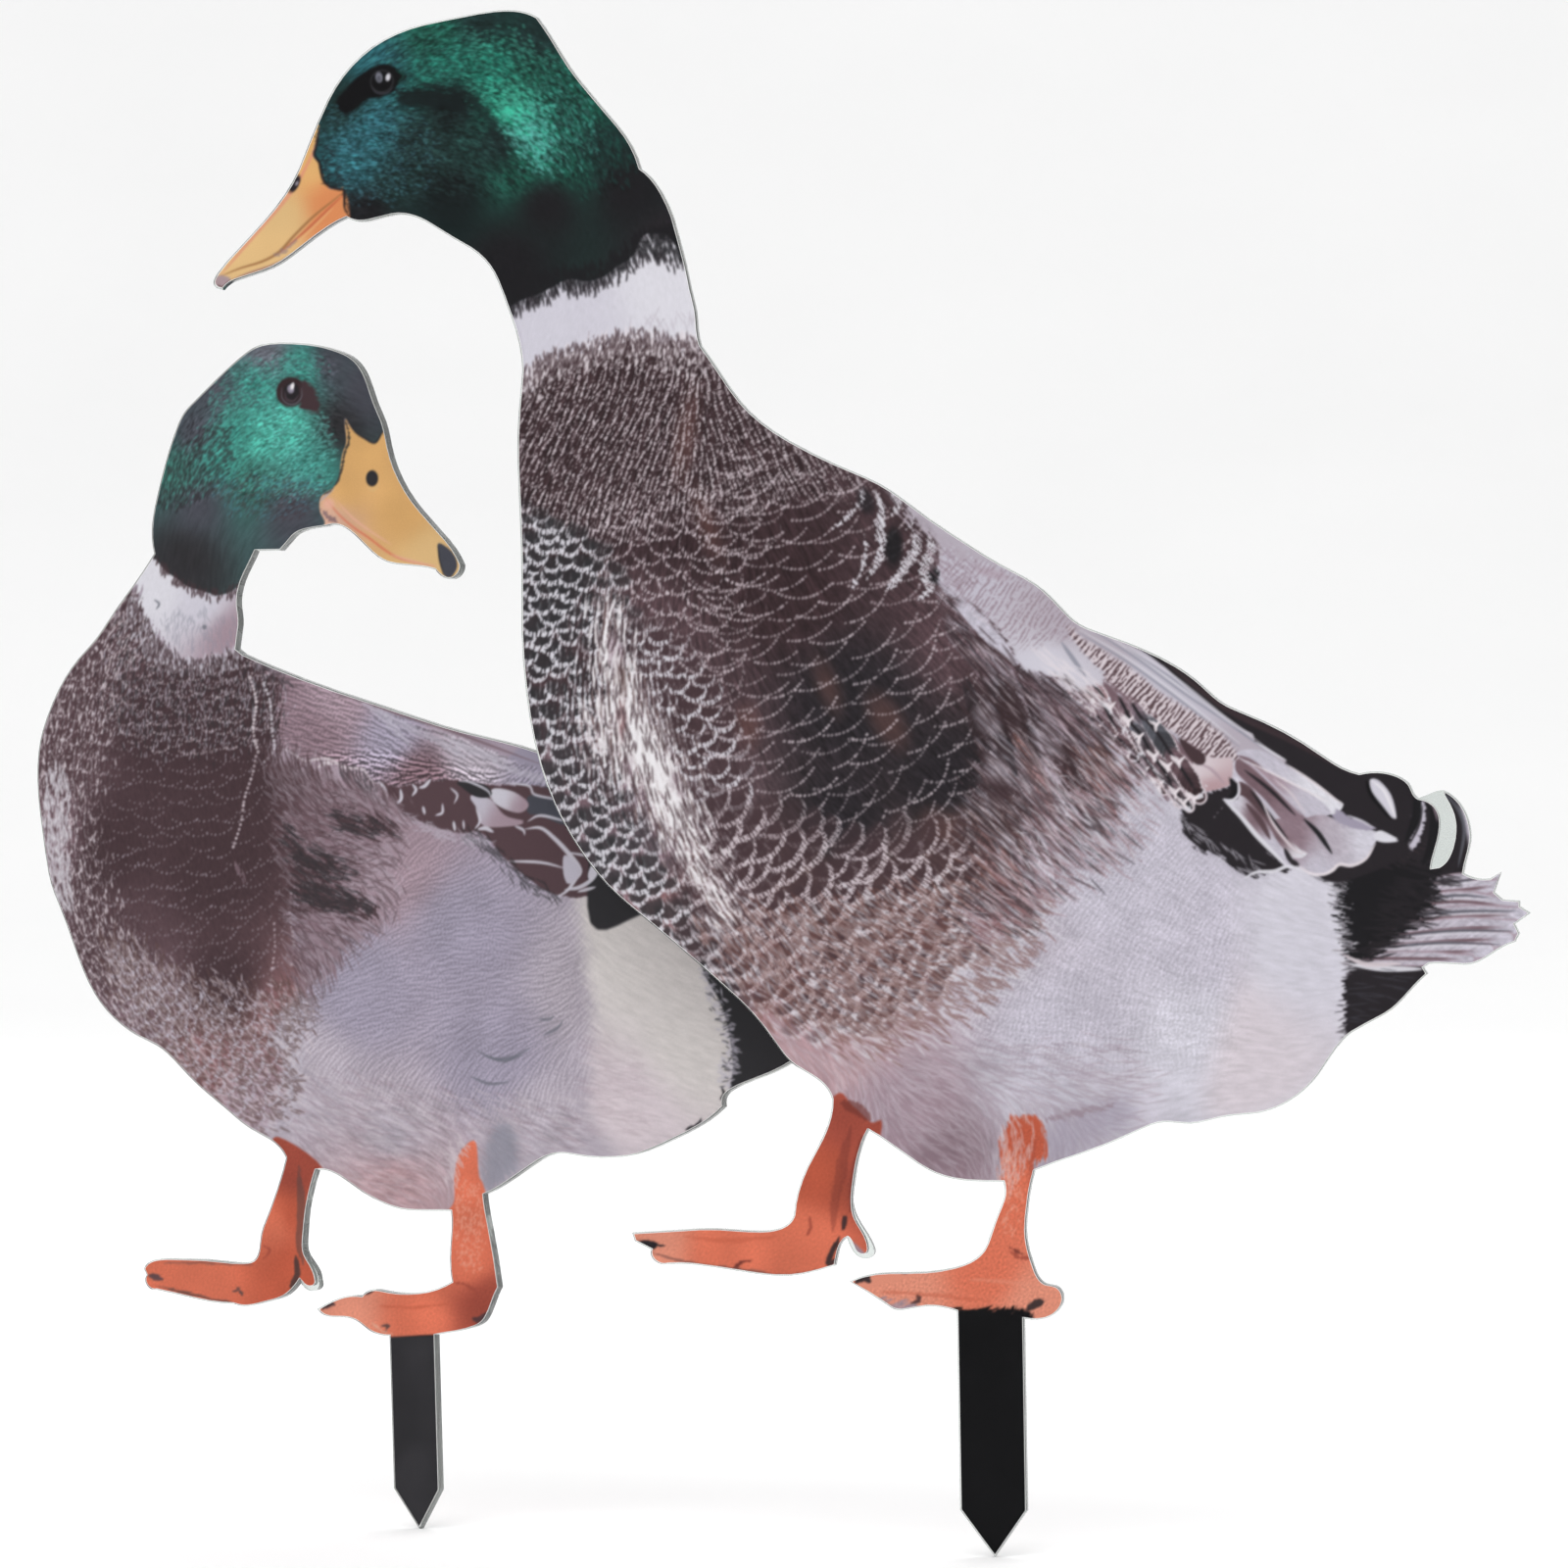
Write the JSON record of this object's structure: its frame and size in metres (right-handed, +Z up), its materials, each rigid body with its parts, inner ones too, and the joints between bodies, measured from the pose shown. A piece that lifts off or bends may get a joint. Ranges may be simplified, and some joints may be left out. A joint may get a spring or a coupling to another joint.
{
  "type": "printed acrylic mallard yard stake set",
  "caption": "Flat clear-acrylic mallard drake yard stakes, printed on both faces, each cut in one with its pointed ground spike.",
  "frame": {"origin": "the point of the large duck's spike, in the front face of its acrylic sheet", "axes": "+Z up along the spikes, the large duck's sheet in the XZ plane with its front towards -Y and its bill towards -X; the small duck stands behind it, towards +Y"},
  "size_m": [0.3257, 0.0596, 0.3161],
  "materials": {
    "clear_acrylic": "clear laser-cut acrylic sheet, polished faces, flame-smooth cut edge with a faint grey-green tint",
    "white_ink": "opaque white under-base, UV-cured, satin",
    "colour_print": "full-colour UV print of a mallard drake: green head, orange bill, white ring, brown barred breast, grey flanks, black tail, orange legs, black spike, satin gloss"
  },
  "bodies": {
    "large_duck": {"large_duck_blank": "clear_acrylic", "large_duck_front_base": "white_ink", "large_duck_front_print": "colour_print", "large_duck_back_base": "white_ink", "large_duck_back_print": "colour_print"},
    "small_duck": {"small_duck_blank": "clear_acrylic", "small_duck_front_base": "white_ink", "small_duck_front_print": "colour_print", "small_duck_back_base": "white_ink", "small_duck_back_print": "colour_print"}
  },
  "joints": [
    {"name": "small_duck_lift", "type": "slide", "parent": "large_duck", "child": "small_duck", "axis": [0, 0, 1], "range_m": [0, 0.045]}
  ]
}
